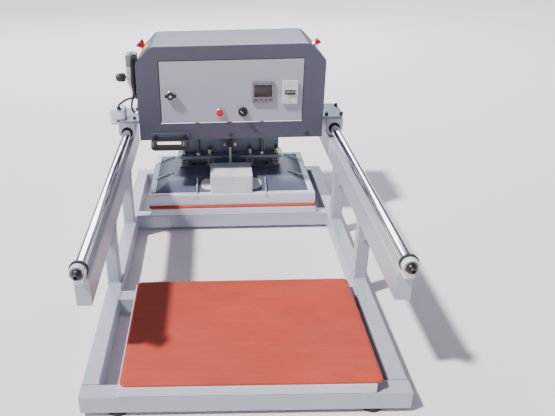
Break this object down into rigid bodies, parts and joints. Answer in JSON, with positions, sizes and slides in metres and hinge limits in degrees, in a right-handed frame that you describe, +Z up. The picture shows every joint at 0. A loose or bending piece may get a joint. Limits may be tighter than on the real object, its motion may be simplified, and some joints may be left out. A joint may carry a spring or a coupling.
{
  "type": "heat press",
  "caption": "Shuttle heat press: a pneumatic head with a sprung heated platen rolls on two round rails between two padded stations.",
  "frame": {"origin": "floor level under the four feet, at the middle of the overall width and length", "axes": "+X to the operator's right, +Y from the operator (front station) to the rear station, +Z up"},
  "size_m": [0.885, 1.424, 0.7094],
  "materials": {
    "frame_paint": "satin powder coat",
    "chrome": "hard chrome, polished",
    "rubber": "matt black",
    "white_board": "white paint",
    "silicone": "matt silicone sponge, salmon red",
    "head_paint": "satin blue-grey",
    "door_paint": "light grey, fine texture",
    "wing_paint": "satin light blue-grey",
    "dark_steel": "oiled dark steel",
    "black_plastic": "moulded, fine texture",
    "grey_plastic": "satin",
    "white_plastic": "glossy",
    "cream_plastic": "satin",
    "red_plastic": "glossy red",
    "platen_paint": "satin blue-grey",
    "aluminium": "machined",
    "lead_sheath": "grey-beige sheath",
    "zinc_steel": "bright zinc plated",
    "brass": "satin",
    "yellow_plate": "satin yellow",
    "screen_dark": "smoked window"
  },
  "bodies": {
    "base_frame": {"front_tube": "frame_paint", "front_cross_tube": "frame_paint", "rear_cross_tube": "frame_paint", "rear_tube": "frame_paint", "left_side_tube": "frame_paint", "right_side_tube": "frame_paint", "front_left_foot": "rubber", "front_right_foot": "rubber", "rear_left_foot": "rubber", "rear_right_foot": "rubber", "front_left_post": "frame_paint", "front_right_post": "frame_paint", "rear_left_post": "frame_paint", "rear_right_post": "frame_paint", "left_rail_beam": "frame_paint", "right_rail_beam": "frame_paint", "left_rail": "chrome", "right_rail": "chrome", "front_left_rail_support": "white_plastic", "front_right_rail_support": "white_plastic", "rear_left_rail_support": "white_plastic", "rear_right_rail_support": "white_plastic", "front_base_plate": "white_board", "rear_base_plate": "white_board", "front_pad": "silicone", "rear_pad": "silicone"},
    "carriage": {"carriage_plate": "wing_paint", "left_bearing_block": "frame_paint", "right_bearing_block": "frame_paint", "head_housing": "head_paint", "face_plate": "head_paint", "push_handle": "black_plastic", "air_cylinder": "aluminium", "air_regulator": "cream_plastic", "end_switch_box": "white_plastic", "upper_air_tube": "rubber", "lower_air_tube": "rubber", "cord_gland": "black_plastic"},
    "regulator_dial": {"regulator_knob": "black_plastic"},
    "door": {"door_panel": "door_paint", "temperature_controller": "grey_plastic", "breaker": "white_plastic"},
    "key_1": {"controller_key_1": "black_plastic"},
    "key_2": {"controller_key_2": "black_plastic"},
    "key_3": {"controller_key_3": "black_plastic"},
    "key_4": {"controller_key_4": "black_plastic"},
    "toggle": {"breaker_toggle": "grey_plastic"},
    "start": {"start_button": "red_plastic"},
    "selector": {"mode_selector": "black_plastic"},
    "lock": {"door_lock_knob": "black_plastic"},
    "yoke": {"press_yoke": "wing_paint", "piston_rod": "dark_steel"},
    "platen": {"pressure_bar": "wing_paint", "heat_platen": "aluminium", "platen_rim": "white_board", "platen_cover": "platen_paint", "junction_box": "white_plastic", "heater_lead": "lead_sheath"},
    "emergency_head": {"emergency_stop": "red_plastic"},
    "stop_head": {"stop_button": "red_plastic"}
  },
  "joints": [
    {"name": "carriage_slide", "type": "slide", "parent": "base_frame", "child": "carriage", "axis": [0, -1, 0], "range_m": [0, 0.948]},
    {"name": "press_slide", "type": "slide", "parent": "carriage", "child": "yoke", "axis": [0, 0, 1], "range_m": [0, 0.05]},
    {"name": "platen_float", "type": "slide", "parent": "yoke", "child": "platen", "axis": [0, 0, 1], "range_m": [0, 0.006], "stiffness_N_per_m": 20000},
    {"name": "door_hinge", "type": "hinge", "parent": "carriage", "child": "door", "pos_m": [0.278, 0.318, 0.5348], "axis": [0, 0, 1], "range_deg": [0, 110]},
    {"name": "regulator_turn", "type": "hinge", "parent": "carriage", "child": "regulator_dial", "pos_m": [-0.3855, 0.38, 0.5803], "axis": [1, 0, 0], "range_deg": [-720, 720]},
    {"name": "emergency_push", "type": "slide", "parent": "carriage", "child": "emergency_head", "axis": [0.7101, 0, -0.7041], "range_m": [0, 0.006], "stiffness_N_per_m": 1500},
    {"name": "stop_push", "type": "slide", "parent": "carriage", "child": "stop_head", "axis": [-0.7101, 0, -0.7041], "range_m": [0, 0.004], "stiffness_N_per_m": 800},
    {"name": "start_push", "type": "slide", "parent": "door", "child": "start", "axis": [0, 1, 0], "range_m": [0, 0.004], "stiffness_N_per_m": 800},
    {"name": "selector_turn", "type": "hinge", "parent": "door", "child": "selector", "pos_m": [0.0595, 0.317, 0.4583], "axis": [0, 1, 0], "range_deg": [0, 90]},
    {"name": "lock_turn", "type": "hinge", "parent": "door", "child": "lock", "pos_m": [-0.2045, 0.317, 0.5253], "axis": [0, 1, 0], "range_deg": [0, 90]},
    {"name": "toggle_tilt", "type": "hinge", "parent": "door", "child": "toggle", "pos_m": [0.2305, 0.313, 0.5298], "axis": [1, 0, 0], "range_deg": [0, 40]},
    {"name": "key_1_push", "type": "slide", "parent": "door", "child": "key_1", "axis": [0, 1, 0], "range_m": [0, 0.0008], "stiffness_N_per_m": 600},
    {"name": "key_2_push", "type": "slide", "parent": "door", "child": "key_2", "axis": [0, 1, 0], "range_m": [0, 0.0008], "stiffness_N_per_m": 600},
    {"name": "key_3_push", "type": "slide", "parent": "door", "child": "key_3", "axis": [0, 1, 0], "range_m": [0, 0.0008], "stiffness_N_per_m": 600},
    {"name": "key_4_push", "type": "slide", "parent": "door", "child": "key_4", "axis": [0, 1, 0], "range_m": [0, 0.0008], "stiffness_N_per_m": 600}
  ]
}
